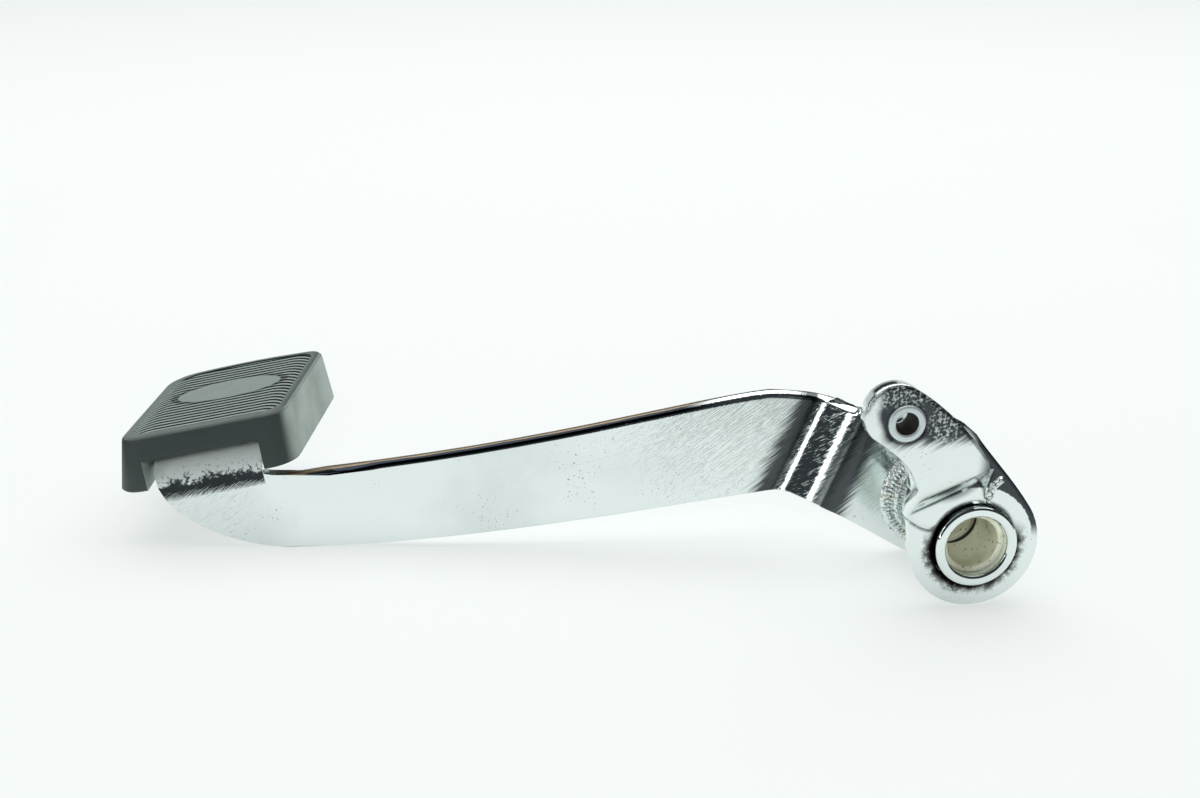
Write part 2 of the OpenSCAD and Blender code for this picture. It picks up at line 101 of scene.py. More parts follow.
class Graph:
    """Thin wrapper that keeps the building of a shader graph readable."""

    def __init__(self, name: str) -> None:
        """Starts an empty material.

        Args:
            name: Name of the new material.
        """
        self.material = bpy.data.materials.new(name)
        self.material.use_nodes = True
        self.nodes = self.material.node_tree.nodes
        self.links = self.material.node_tree.links
        self.nodes.clear()
        self.coord = self.add("ShaderNodeTexCoord").outputs["Object"]
        self.rounding: bpy.types.NodeSocket | None = None

    def add(self, kind: str, **settings: object) -> bpy.types.Node:
        """Adds a node and sets its attributes.

        Args:
            kind: Node type.
            settings: Attribute values of the node.

        Returns:
            The new node.
        """
        node = self.nodes.new(kind)
        for key, value in settings.items():
            setattr(node, key, value)
        return node

    def feed(self, socket: bpy.types.NodeSocket, value: object) -> None:
        """Links a socket into another one, or sets it to a constant.

        Args:
            socket: Socket that takes the value.
            value: Socket or constant to put in.
        """
        if isinstance(value, bpy.types.NodeSocket):
            self.links.new(value, socket)
        else:
            socket.default_value = value

    def stretched(self, scale: Sequence[float], turn: Sequence[float] = (0, 0, 0)) -> bpy.types.NodeSocket:
        """Object coordinates, turned and then scaled per axis.

        Args:
            scale: Scale along X, Y and Z.
            turn: Turn about X, Y and Z in degrees.

        Returns:
            Socket of the coordinates.
        """
        turned = self.add("ShaderNodeMapping")
        self.feed(turned.inputs["Vector"], self.coord)
        turned.inputs["Rotation"].default_value = tuple(math.radians(a) for a in turn)
        scaled = self.add("ShaderNodeMapping")
        self.feed(scaled.inputs["Vector"], turned.outputs[0])
        scaled.inputs["Scale"].default_value = tuple(scale)
        return scaled.outputs[0]

    def noise(self, scale: float, detail: float = 4.0, vector: object = None) -> bpy.types.NodeSocket:
        """Noise between about 0 and 1, with features of 1/scale metres.

        Args:
            scale: Features per metre.
            detail: Number of finer layers.
            vector: Coordinates, or None for those of the object.

        Returns:
            Socket of the noise.
        """
        node = self.add("ShaderNodeTexNoise")
        self.feed(node.inputs["Vector"], self.coord if vector is None else vector)
        node.inputs["Scale"].default_value = scale
        node.inputs["Detail"].default_value = detail
        return node.outputs["Fac"]

    def streaks(self, wide: float, fine: float, turn: float, detail: float = 3.0) -> bpy.types.NodeSocket:
        """Noise drawn out into streaks, coarse and fine scale in 1/m, turned in degrees about Y."""
        return self.noise(1.0, detail, self.stretched((wide, wide, fine), (0, turn, 0)))

    def ramp(self, value: object, low: float, high: float, out: Pair = (0.0, 1.0)) -> bpy.types.NodeSocket:
        """Maps a value's range low..high smoothly onto the range out.

        Args:
            value: Socket that is mapped.
            low: Value that gives the first of out.
            high: Value that gives the second of out.
            out: Ends of the result.

        Returns:
            Socket of the mapped value.
        """
        node = self.add("ShaderNodeMapRange", interpolation_type="SMOOTHSTEP")
        for socket, part in zip(node.inputs[:5], (value, low, high, out[0], out[1])):
            self.feed(socket, part)
        return node.outputs[0]

    def math(self, kind: str, a: object, b: object = 0.0) -> bpy.types.NodeSocket:
        """One arithmetic step, clamped to 0..1.

        Args:
            kind: Operation.
            a: First socket or constant.
            b: Second one.

        Returns:
            Socket of the result.
        """
        node = self.add("ShaderNodeMath", operation=kind, use_clamp=True)
        self.feed(node.inputs[0], a)
        self.feed(node.inputs[1], b)
        return node.outputs[0]

    def fade(self, length: object, ends: Pair) -> bpy.types.NodeSocket:
        """Mask that rises from 0 to 1 between two lengths in mm."""
        return self.ramp(length, ends[0] * MM, ends[1] * MM)

    def both(self, first: object, *masks: object) -> bpy.types.NodeSocket:
        """Mask where all the given masks hold.

        Args:
            first: First mask.
            masks: Further masks or constants.

        Returns:
            Socket of their product.
        """
        for mask in masks:
            first = self.math("MULTIPLY", first, mask)
        return first

    def either(self, a: object, b: object) -> bpy.types.NodeSocket:
        """Mask where at least one of two masks holds."""
        return self.math("MAXIMUM", a, b)

    def less(self, mask: object, share: float = 1.0) -> bpy.types.NodeSocket:
        """1 without the share of a mask."""
        return self.math("SUBTRACT", 1.0, self.math("MULTIPLY", mask, share))

    def paint(self, colour: object, shade: Shade, mask: object, share: float = 1.0) -> bpy.types.NodeSocket:
        """Lays a shade over a colour where a mask holds.

        Args:
            colour: Colour so far.
            shade: Colour on top.
            mask: Where it lies.
            share: How much of it covers.

        Returns:
            The colour with the shade on it.
        """
        return self.mix(mask if share == 1.0 else self.math("MULTIPLY", mask, share), colour, shade.value)

    def mix(self, factor: object, a: object, b: object) -> bpy.types.NodeSocket:
        """Colour a where the factor is 0, and b where it is 1.

        Args:
            factor: Share of b.
            a: First colour.
            b: Second colour.

        Returns:
            Socket of the mixed colour.
        """
        node = self.add("ShaderNodeMix", data_type="RGBA")
        self.feed(node.inputs["Factor"], factor)
        colours = [s for s in node.inputs if s.type == "RGBA"]
        self.feed(colours[0], a)
        self.feed(colours[1], b)
        return next(s for s in node.outputs if s.type == "RGBA")

    def local(self, place: Matrix) -> bpy.types.NodeSocket:
        """Object coordinates seen from a frame of the pedal.

        Args:
            place: Frame in metres.

        Returns:
            Socket of the coordinates in that frame.
        """
        inverse = place.inverted()
        node = self.add("ShaderNodeMapping", vector_type="POINT")
        self.feed(node.inputs["Vector"], self.coord)
        node.inputs["Location"].default_value = inverse.to_translation()
        node.inputs["Rotation"].default_value = inverse.to_euler("XYZ")
        return node.outputs[0]

    def axis(self, name: str, vector: object = None) -> bpy.types.NodeSocket:
        """One of the coordinates X, Y or Z of a vector, or of the object coordinates.

        Args:
            name: X, Y or Z.
            vector: Coordinates, or None for those of the object.

        Returns:
            Socket of the coordinate in metres.
        """
        node = self.add("ShaderNodeSeparateXYZ")
        self.feed(node.inputs[0], self.coord if vector is None else vector)
        return node.outputs[name]

    def off_axis(self, x: float = 0.0, z: float = 0.0, squash: float = 1.0) -> bpy.types.NodeSocket:
        """Distance from the line along Y at x, z in mm, with the heights squashed."""
        return self.reach((x * MM, 0, z * MM), (1, 0, squash))

    def reach(self, centre: Sequence[float], scale: Sequence[float], vector: object = None) -> object:
        """Distance from a centre, after each axis is scaled; a scale of 0 leaves the axis out.

        Args:
            centre: Point in metres.
            scale: Scale of each axis.
            vector: Coordinates, or None for those of the object.

        Returns:
            Socket of the distance.
        """
        flat = self.add("ShaderNodeVectorMath", operation="MULTIPLY_ADD")
        self.feed(flat.inputs[0], self.coord if vector is None else vector)
        flat.inputs[1].default_value = tuple(scale)
        flat.inputs[2].default_value = tuple(-c * k for c, k in zip(centre, scale))
        length = self.add("ShaderNodeVectorMath", operation="LENGTH")
        self.feed(length.inputs[0], flat.outputs[0])
        return length.outputs["Value"]

    def plus(self, a: object, b: object, gain: float = 1.0) -> bpy.types.NodeSocket:
        """The sum a + gain * b, not clamped.

        Args:
            a: First socket.
            b: Second socket or constant.
            gain: Factor of b.

        Returns:
            Socket of the sum.
        """
        node = self.add("ShaderNodeMath", operation="MULTIPLY_ADD")
        self.feed(node.inputs[0], b)
        node.inputs[1].default_value = gain
        self.feed(node.inputs[2], a)
        return node.outputs[0]

    def facing(self, way: Sequence[float]) -> bpy.types.NodeSocket:
        """How squarely the surface faces a direction, 1 at best.

        Args:
            way: Direction of length 1.

        Returns:
            Socket of the share.
        """
        node = self.add("ShaderNodeVectorMath", operation="DOT_PRODUCT")
        self.feed(node.inputs[0], self.add("ShaderNodeNewGeometry").outputs["Normal"])
        node.inputs[1].default_value = tuple(way)
        return node.outputs["Value"]

    def round_edges(self, radius: float) -> None:
        """Lets the light turn softly round edges, over a radius in metres.

        Args:
            radius: Radius in metres.
        """
        node = self.add("ShaderNodeBevel", samples=6)
        node.inputs["Radius"].default_value = radius
        self.rounding = node.outputs[0]

    def engrave(self, height: bpy.types.NodeSocket, depth: float) -> None:
        """Adds a second bump, such as fine lines, on top of the surface's own.

        Args:
            height: Socket of the height.
            depth: Depth in metres.
        """
        shader = next(n for n in self.nodes if n.type == "BSDF_PRINCIPLED")
        bump = self.add("ShaderNodeBump")
        bump.inputs["Distance"].default_value = depth
        self.feed(bump.inputs["Height"], height)
        if shader.inputs["Normal"].is_linked:
            self.links.new(shader.inputs["Normal"].links[0].from_socket, bump.inputs["Normal"])
        self.links.new(bump.outputs[0], shader.inputs["Normal"])

    def surface(
        self, colour: object, rough: object, metallic: object, height: object = None, depth: float = 0.0
    ) -> bpy.types.Material:
        """Closes the graph with one principled surface.

        Args:
            colour: Base colour or the socket that makes it.
            rough: Roughness or the socket that makes it.
            metallic: Share of metal.
            height: Socket of the bump's height, or None.
            depth: Depth of the bump in metres.

        Returns:
            The finished material.
        """
        shader = self.add("ShaderNodeBsdfPrincipled")
        self.feed(shader.inputs["Base Color"], colour)
        self.feed(shader.inputs["Roughness"], rough)
        self.feed(shader.inputs["Metallic"], metallic)
        if height is not None:
            bump = self.add("ShaderNodeBump")
            bump.inputs["Distance"].default_value = depth
            bump.inputs["Strength"].default_value = 1.0
            self.feed(bump.inputs["Height"], height)
            if self.rounding is not None:
                self.links.new(self.rounding, bump.inputs["Normal"])
            self.links.new(bump.outputs[0], shader.inputs["Normal"])
        out = self.add("ShaderNodeOutputMaterial")
        self.links.new(shader.outputs[0], out.inputs["Surface"])
        return self.material


@dataclass(frozen=True)
class Chrome:
    """Old chrome plating: a mirror with fine pits, polishing lines and cloudy patches.

    Args:
        slot: Material slot of the record.
        pits: Share of the pits that show, 0 to 1.
        cloud: Roughness that the haze adds.
        lines: Depth in metres of the polishing lines.
        calm: Places X in mm between which the polishing lines fade in towards the pivot.
        toe: The same for their fading in towards the toe.
        round_mm: Radius in mm over which light turns round the edges.
    """

    slot: Slot
    pits: float
    cloud: float
    lines: float
    calm: Pair = (-1000.0, -900.0)
    toe: Pair = (-900.0, -1000.0)
    round_mm: float = 0.0

    def wear(self, g: Graph, colour: object, rough: object) -> tuple[object, object, object]:
        """Adds what only this piece has.

        Args:
            g: Shader graph in the making.
            colour: Colour so far.
            rough: Roughness so far.

        Returns:
            Colour, roughness and share of metal.
        """
        return colour, rough, 1.0

    def build(self) -> bpy.types.Material:
        """Makes the material."""
        g = Graph(self.slot.value)
        if self.round_mm > 0.0:
            g.round_edges(self.round_mm * MM)
        specks = g.ramp(g.noise(1500, 3), 0.665, 0.71)
        pits = g.both(specks, g.ramp(g.noise(75, 4), 0.52, 0.68, (0.04, 1.0)), self.pits)
        haze = g.ramp(g.noise(22, 6), 0.45, 0.75)
        hair = g.both(g.ramp(g.streaks(70, 5200, 14, 2), 0.70, 0.74), g.ramp(g.noise(40, 2), 0.5, 0.6))
        colour = g.mix(haze, Shade.CHROME.value, Shade.CHROME_CLOUDY.value)
        colour = g.paint(colour, Shade.CHROME_GREY, hair, 0.16 * self.pits)
        colour = g.paint(colour, Shade.GRIME_AND_SHADE, pits)
        rough = g.plus(g.plus(0.045, haze, self.cloud), pits, 0.4)
        colour, rough, metal = self.wear(g, colour, rough)
        made = g.surface(colour, rough, metal, g.less(pits), PIT_DEPTH)
        low, high = (x * MM for x in self.calm)
        shown = g.either(g.ramp(g.axis("X"), low, high, (0.12, 1.0)), g.fade(g.axis("X"), self.toe))
        g.engrave(g.both(g.ramp(g.streaks(170, 4300, 38), 0.35, 0.75), shown), self.lines)
        return made


@dataclass(frozen=True)
class ArmChrome(Chrome):
    """Chrome of the arm, with a dull pitted roll brightened as a painted highlight, painted reflections of
    the dark room at the joggle and along the blade's top, and a worn upper edge.

    Lengths are in mm. X and Z are places in the frame named with them.

    Args:
        roll: Frame of the rolled flange.
        folds: Frame of the joggle, X across its folds.
        roll_start: X of the pedal where the roll begins.
        frost_level: Z of the roll above which it is dull.
        peel_level: Z of the roll below which the dull half is pitted.
        left_dark: X of the folds where the outer band begins, ragged.
        left_end: X of the folds where it ends at the bright line.
        right_start: X of the folds where the inner band begins at the bright line.
        right_dark: X of the folds where it ends, ragged.
        blade_start: X of the pedal where the worn edge and the painted reflection along the top begin.
        blade_end: X of the pedal where they end at the roll.
    """

    roll: Matrix = field(default_factory=Matrix)
    folds: Matrix = field(default_factory=Matrix)
    roll_start: Pair = (-206.0, -209.5)
    frost_level: Pair = (10.8, 12.4)
    peel_level: Pair = (16.5, 10.5)
    left_dark: Pair = (-52.5, -47.5)
    left_end: Pair = (-43.2, -44.8)
    right_start: Pair = (-33.0, -32.0)
    right_dark: Pair = (-22.2, -27.2)
    blade_start: Pair = (-60.0, -78.0)
    blade_end: Pair = (-212.0, -205.0)

    def frost(self, g: Graph) -> bpy.types.NodeSocket:
        """Mask of the dull upper half of the roll, frosted plating that is brightened as a painted
        highlight, peeled off in small pits.
        """
        level = g.axis("Z", g.local(self.roll))
        level = g.plus(g.plus(level, g.noise(900, 4), 6 * MM), g.noise(160, 3), 6 * MM)
        frost = g.both(g.fade(level, self.frost_level), g.fade(g.axis("X"), self.roll_start))
        peel = g.both(g.ramp(g.noise(1000, 3), 0.58, 0.64), g.fade(level, self.peel_level))
        return g.both(frost, g.less(peel, 0.8))

    def bands(self, g: Graph) -> bpy.types.NodeSocket:
        """Mask of the painted reflection of the dark room, as dark bands on both sides of the joggle's
        bright lines.
        """
        plain = g.axis("X", g.local(self.folds))
        ragged = g.plus(g.plus(plain, -3.5 * MM), g.streaks(120, 2600, 38), 7 * MM)
        left = g.both(g.fade(ragged, self.left_dark), g.fade(plain, self.left_end))
        right = g.both(g.fade(plain, self.right_start), g.fade(ragged, self.right_dark))
        return g.math("ADD", left, right)

    def wear(self, g: Graph, colour: object, rough: object) -> tuple[object, object, object]:
        """Adds the dull half of the roll with its painted highlight, the painted reflections of the dark
        room at the joggle and along the blade's top, and the worn line along the blade's top.
        """
        frost = self.frost(g)
        # Painted highlight: the roll's frosted upper half is made bright in colour.
        colour = g.paint(colour, Shade.FROST_WITH_HIGHLIGHT, frost)
        # Painted reflection of the dark room in the bands beside the joggle's bright lines.
        colour = g.paint(colour, Shade.DARK_ROOM_REFLECTION, self.bands(g), 0.93)
        blade = g.both(g.fade(g.axis("X"), self.blade_start), g.fade(g.axis("X"), self.blade_end))
        upward = g.facing((0, 0, 1))
        # Painted reflection of the dark room on the faces of the blade's top that tilt upwards.
        colour = g.paint(colour, Shade.DARK_ROOM_REFLECTION, g.both(g.ramp(upward, 0.25, 0.40), blade))
        worn = g.both(g.ramp(g.plus(upward, g.noise(70, 4), 0.16), 0.955, 1.01), blade)
        colour = g.paint(colour, Shade.WORN_EDGE, worn)
        rough = g.plus(g.plus(rough, frost, 0.18), worn, 0.3)
        return colour, rough, g.less(frost, 0.8)


@dataclass(frozen=True)
class HubChrome(Chrome):
    """Chrome of the hub plate and lever, with grime round the tube, a frosted upper end with a painted
    reflection of the dark room, painted shade in the lower fold and a painted reflection along the right
    flank.

    Lengths are in mm, places are X and Z of the pedal.

    Args:
        grime: Distance from the pivot axis at which the grime ends and is full.
        grime_top: Height at which it ends and is full.
        dark_level: Height from which the lever's end is dark.
        dark_spot: Middle of that end.
        dark_reach: Distance from this middle at which the dark ends and is full.
        frost_top: Height from which the end is frosted.
        frost_spot: Middle of a frosted patch at its right.
        frost_reach: Distance from this middle at which the frost ends and is full.
        frost_squash: Height of the patch counted in this distance, as a share.
        fold: Middle of the lever's lower fold, in a frame that leans with it.
        fold_lean: Lean of the fold in degrees.
        fold_half: Half length and half width of its grey valley of painted shade.
        smudges: Place and radius of each smudge.
        flank: Distance from the pivot axis, along flank_way, at which the flank's dark band starts.
        flank_way: Direction across the hub plate's right flank.
        bend: Distance from the pivot axis at which the band starts below the flank.
        band_z: Height over which the band fades in.
        band_x: X over which it fades in.
        ragged: Amplitude of its uneven inner edge.
        taper: How fast it narrows downwards.
        valley_edge: Distance from the valley's middle line at which it ends and is full.
    """

    grime: Pair = (19.2, 15.6)
    grime_top: Pair = (8.0, 0.0)
    dark_level: Pair = (37.5, 42.5)
    dark_spot: Pair = (-18.5, 46.5)
    dark_reach: Pair = (19.5, 16.5)
    frost_top: Pair = (46.5, 50.5)
    frost_spot: Pair = (-15.0, 42.5)
    frost_reach: Pair = (6.5, 3.0)
    frost_squash: float = 0.8
    fold: Pair = (1.5, 17.6)
    fold_lean: float = 22.5
    fold_half: Pair = (7.5, 2.2)
    smudges: tuple[tuple[float, float, float], ...] = (
        (-18.7, 15.6, 0.9),
        (-10.8, -20.5, 0.5),
        (-12.5, 15.5, 0.3),
    )
    flank: Pair = (18.7, 19.1)
    flank_way: Pair = (0.795, 0.607)
    bend: Pair = (18.2, 18.6)
    band_z: Pair = (0.5, 6.0)
    band_x: Pair = (-5.0, 0.0)
    ragged: float = 0.8
    taper: float = -14.0
    valley_edge: Pair = (2.4, 0.6)

    def grime_ring(self, g: Graph) -> bpy.types.NodeSocket:
        """Mask of the peppered grime round the tube."""
        ring = g.fade(g.plus(g.off_axis(), g.noise(420, 5), 4 * MM), self.grime)
        pepper = g.ramp(g.plus(g.noise(1900, 2), ring, 0.30), 0.48, 0.60)
        return g.both(ring, pepper, g.fade(g.axis("Z"), self.grime_top))

    def mirrored_dark_end(self, g: Graph) -> bpy.types.NodeSocket:
        """Mask of the painted reflection of the dark room on the lever's upper end, brushed out downwards.
        """
        upper = g.fade(g.plus(g.axis("Z"), g.streaks(140, 1700, 35), 7 * MM), self.dark_level)
        near = g.fade(g.plus(g.off_axis(*self.dark_spot), g.noise(200, 4), 3 * MM), self.dark_reach)
        return g.both(upper, near)

    def frosted(self, g: Graph) -> bpy.types.NodeSocket:
        """Mask of the mottled frost along the top of the lever and at its right."""
        right = g.fade(g.off_axis(*self.frost_spot, self.frost_squash), self.frost_reach)
        patch = g.either(g.fade(g.axis("Z"), self.frost_top), right)
        return g.both(g.ramp(g.noise(1150, 6), 0.47, 0.63, (0.0, 0.8)), patch)

    def valley(self, g: Graph) -> bpy.types.NodeSocket:
        """Mask of the painted shade, a grey valley at the lever's lower fold."""
        along = g.local(Matrix.Rotation(-math.radians(self.fold_lean), 4, "Y"))
        long, wide = self.fold_half
        place = (self.fold[0] * MM, 0, self.fold[1] * MM)
        return g.fade(g.reach(place, (wide / long, 0, 1), along), self.valley_edge)

    def flank_reflection(self, g: Graph) -> bpy.types.NodeSocket:
        """Mask of the painted reflection of the dark room, a band along the hub plate's right flank."""
        ragged = g.plus(g.noise(900, 3), g.axis("Z"), self.taper)
        across = g.plus(g.math("MULTIPLY", g.axis("X"), self.flank_way[0]), g.axis("Z"), self.flank_way[1])
        flank = g.fade(g.plus(across, ragged, self.ragged * MM), self.flank)
        bend = g.fade(g.plus(g.off_axis(), ragged, self.ragged * MM), self.bend)
        ends = g.both(g.fade(g.axis("Z"), self.band_z), g.fade(g.axis("X"), self.band_x))
        return g.both(g.either(flank, bend), ends)

    def wear(self, g: Graph, colour: object, rough: object) -> tuple[object, object, object]:
        """Adds the grime, the painted reflection on the upper end and its frost, the painted shade in the
        valley, smudges and the painted reflection along the flank.
        """
        front = g.ramp(g.facing((0, -1, 0)), 0.5, 0.8)
        grime = self.grime_ring(g)
        colour = g.paint(colour, Shade.GRIME_AND_SHADE, grime)
        # Painted reflection of the dark room on the lever's upper end.
        colour = g.paint(colour, Shade.DARK_ROOM_REFLECTION, g.both(self.mirrored_dark_end(g), front), 0.96)
        frost = g.both(self.frosted(g), front)
        colour = g.paint(colour, Shade.CHROME_CLOUDY, frost)
        # Painted shade in the lever's lower fold.
        colour = g.paint(colour, Shade.CHROME_GREY, g.both(self.valley(g), front), 0.65)
        for x, z, radius in self.smudges:
            spot = g.plus(g.off_axis(x, z), g.noise(900, 4), 2 * MM)
            smudge = g.both(g.fade(spot, (radius + 1.3, radius + 0.9)), front)
            colour = g.paint(colour, Shade.GRIME_AND_SHADE, smudge, 0.8)
        # Painted reflection of the dark room along the hub plate's right flank.
        colour = g.paint(colour, Shade.DARK_ROOM_REFLECTION, g.both(self.flank_reflection(g), front), 0.95)
        rough = g.plus(g.plus(rough, grime, 0.5), frost, 0.35)
        return colour, rough, g.less(frost, 0.5)


@dataclass(frozen=True)
class TubeChrome(Chrome):
    """Chrome of the tube, with painted shade on its wall in front of the hub plate, the zinc of the eye
    bush, and oily bores with painted shade.

    Lengths are in mm, places are X, Y and Z of the pedal.

    Args:
        wall: Distance from the pivot axis from which the tube's outer wall counts.
        plate: Y of the hub plate's front, from which the painted shade shows.
        fade_out: Y over which it ends.
        left: Place along X and 0.9 Z over which it starts at the left.
        bore: Distance from the pivot axis within which the tube's bore is oily and carries painted shade.
        bore_y: Y from which it is.
        eye_rim: Radius of the eye bush.
        eye_bore: Radius of its bore, which is oily and carries painted shade.
    """

    wall: Pair = (12.2, 12.6)
    plate: Pair = (-3.0, -2.6)
    fade_out: Pair = (8.0, 2.0)
    left: Pair = (4.0, -2.0)
    bore: Pair = (10.8, 10.6)
    bore_y: Pair = (4.0, 5.0)
    eye_rim: Pair = (6.2, 6.0)
    eye_bore: Pair = (3.5, 3.4)

    def wear(self, g: Graph, colour: object, rough: object) -> tuple[object, object, object]:
        """Adds the painted shade on the wall by the hub plate, the zinc, and the oily bores with their
        painted shade.
        """
        # Painted shade on the tube's left wall, in the gap in front of the hub plate.
        left = g.fade(g.plus(g.axis("X"), g.axis("Z"), 0.9), self.left)
        gap_shade = g.both(g.fade(g.off_axis(), self.wall), g.fade(g.axis("Y"), self.plate), left)
        gap_shade = g.both(gap_shade, g.fade(g.axis("Y"), self.fade_out))
        colour = g.paint(colour, Shade.GRIME_AND_SHADE, gap_shade)
        zinc = g.fade(g.off_axis(*EYE), self.eye_rim)
        colour = g.paint(colour, Shade.ZINC, zinc)
        # Oil and painted shade inside the tube's bore and the eye bush's bore.
        bore = g.both(g.fade(g.off_axis(), self.bore), g.fade(g.axis("Y"), self.bore_y))
        oil_and_shade = g.either(g.fade(g.off_axis(*EYE), self.eye_bore), bore)
        colour = g.paint(colour, Shade.OIL_AND_SHADE, oil_and_shade)
        rough = g.plus(g.plus(g.plus(rough, gap_shade, 0.3), zinc, 0.28), oil_and_shade, 0.3)
        return colour, rough, g.less(zinc, 0.45)


@dataclass(frozen=True)
class Bronze:
    """Greasy bearing bronze of the pressed-in bushes, its colour brightened as painted light inside the
    bores.
    """

    slot: Slot

    def build(self) -> bpy.types.Material:
        """Makes the material."""
        g = Graph(self.slot.value)
        smear = g.ramp(g.noise(90, 6), 0.40, 0.72)
        spots = g.ramp(g.noise(700, 3), 0.62, 0.70)
        # Painted light: the bushes' colour is brightened to stand for light reaching into the bores.
        colour = g.paint(Shade.LIT_BRONZE.value, Shade.BRONZE_DARK, smear, 0.7)
        colour = g.paint(colour, Shade.GRIME_AND_SHADE, spots, 0.7)
        rough = g.ramp(g.noise(60, 4), 0.3, 0.7, (0.3, 0.5))
        return g.surface(colour, rough, 0.15, g.noise(500, 4), 0.1 * MM)


@dataclass(frozen=True)
class Weld:
    """Rough weld under the plating, with dirt in its pits and a tint of heat."""

    slot: Slot

    def build(self) -> bpy.types.Material:
        """Makes the material."""
        g = Graph(self.slot.value)
        dirt = g.ramp(g.noise(1100, 4), 0.52, 0.66)
        tint = g.ramp(g.noise(170, 3), 0.56, 0.68)
        colour = g.paint(Shade.CHROME.value, Shade.HEAT_TINT, tint, 0.5)
        colour = g.paint(colour, Shade.WELD_DIRT, dirt, 0.8)
        rough = g.ramp(dirt, 0.0, 1.0, (0.10, 0.4))
        return g.surface(colour, rough, 1.0, g.noise(700, 5), 0.7 * MM)


@dataclass(frozen=True)
class Rubber:
    """Matt old rubber, paler on its right side, with dust and a painted highlight on the ribs' crowns,
    painted shade in the grooves and round the oval, and a paler oval.

    Lengths are in mm. Heights are over the floor of the ribbed field.

    Args:
        slot: Material slot of the record.
        pad: Frame of the platform under the pad.
        oval: Middle and half axes of the bare oval in that frame.
        ribbed: Middle and half sides of the ribbed field in that frame.
        floor_z: Height of that field's floor in that frame.
        crown_from: Heights from which the crowns of the ribs carry dust and a painted highlight.
        crown_to: Heights up to which they are.
        groove_from: Heights from which the grooves carry painted shade.
        groove_to: Heights up to which they are.
        oval_from: Heights from which the oval is pale.
        moat: Reach of the painted shade line round the oval, as shares of its half axes.
        pale_side_way: Direction that the paler right side faces.
        rim_way: Direction that the dusty rim faces.
    """

    slot: Slot
    pad: Matrix
    oval: tuple[float, float, float, float]
    ribbed: tuple[float, float, float, float]
    floor_z: float
    crown_from: Pair = (0.9, 1.2)
    crown_to: Pair = (1.65, 1.4)
    groove_from: Pair = (-0.4, -0.1)
    groove_to: Pair = (1.1, 0.2)
    oval_from: Pair = (0.6, 1.0)
    moat: Pair = (1.15, 1.12)
    pale_side_way: tuple[float, float, float] = (0.97, -0.14, 0.19)
    rim_way: tuple[float, float, float] = (-0.40, 0.07, 0.91)

    def height(self, g: Graph, here: object, ends: Pair) -> bpy.types.NodeSocket:
        """Mask between two heights over the floor of the field."""
        return g.fade(g.axis("Z", here), (self.floor_z + ends[0], self.floor_z + ends[1]))

    def share(self, g: Graph, here: object, shape: Sequence[float], way: Pair = (1, 1)) -> object:
        """Distance from a shape's middle, as a share of its half sides, along X, Y or both."""
        x, y, half_x, half_y = (v * MM for v in shape)
        return g.reach((x, y, 0), (way[0] / half_x, way[1] / half_y, 0), here)

    def build(self) -> bpy.types.Material:
        """Makes the material."""
        g = Graph(self.slot.value)
        here = g.local(self.pad)
        colour = g.mix(g.ramp(g.noise(45, 5), 0.35, 0.7), Shade.RUBBER.value, Shade.RUBBER_DARK.value)
        up = g.ramp(g.facing(tuple(self.pad.to_3x3() @ Vector((0, 0, 1)))), 0.55, 0.98)
        crown_dust_highlight = g.both(up, self.height(g, here, self.crown_from), self.height(g, here, self.crown_to))
        # Dust and a painted highlight on the up-facing crowns of the ribs.
        colour = g.paint(colour, Shade.DUST_AND_HIGHLIGHT, crown_dust_highlight, 0.42)
        groove_shade = g.both(self.height(g, here, self.groove_to), self.height(g, here, self.groove_from))
        inner_x = g.ramp(self.share(g, here, self.ribbed, (1, 0)), 1.0, 0.99)
        inner_y = g.ramp(self.share(g, here, self.ribbed, (0, 1)), 1.0, 0.99)
        box = g.both(inner_x, inner_y)
        # Painted shade in the grooves between the ribs.
        colour = g.paint(colour, Shade.RUBBER_GROOVE_SHADE, g.both(groove_shade, box))
        side = g.ramp(g.facing(self.pale_side_way), 0.55, 0.97)
        cloud = g.ramp(g.noise(70, 6), 0.25, 0.65, (0.65, 1.0))
        # Paler on the faces that look to the right.
        colour = g.paint(colour, Shade.DUST_AND_HIGHLIGHT, g.both(side, cloud))
        reach = self.share(g, here, self.oval)
        inside = g.ramp(reach, 1.0, 0.97)
        high = self.height(g, here, self.oval_from)
        moat = g.both(g.math("SUBTRACT", g.ramp(reach, *self.moat), inside), box, high)
        # Painted shade as a dark line round the oval.
        colour = g.paint(colour, Shade.RUBBER_GROOVE_SHADE, moat)
        pale = g.both(inside, high, g.ramp(g.noise(160, 5), 0.2, 0.7, (0.7, 1.0)))
        colour = g.paint(colour, Shade.RUBBER_PALE, pale)
        rim = g.ramp(g.facing(self.rim_way), 0.90, 0.99)
        colour = g.paint(colour, Shade.DUST_AND_HIGHLIGHT, rim, 0.22)
        rough = g.ramp(g.noise(110, 5), 0.3, 0.7, (0.42, 0.6))
        return g.surface(colour, rough, 0.0, g.noise(900, 5), PIT_DEPTH)


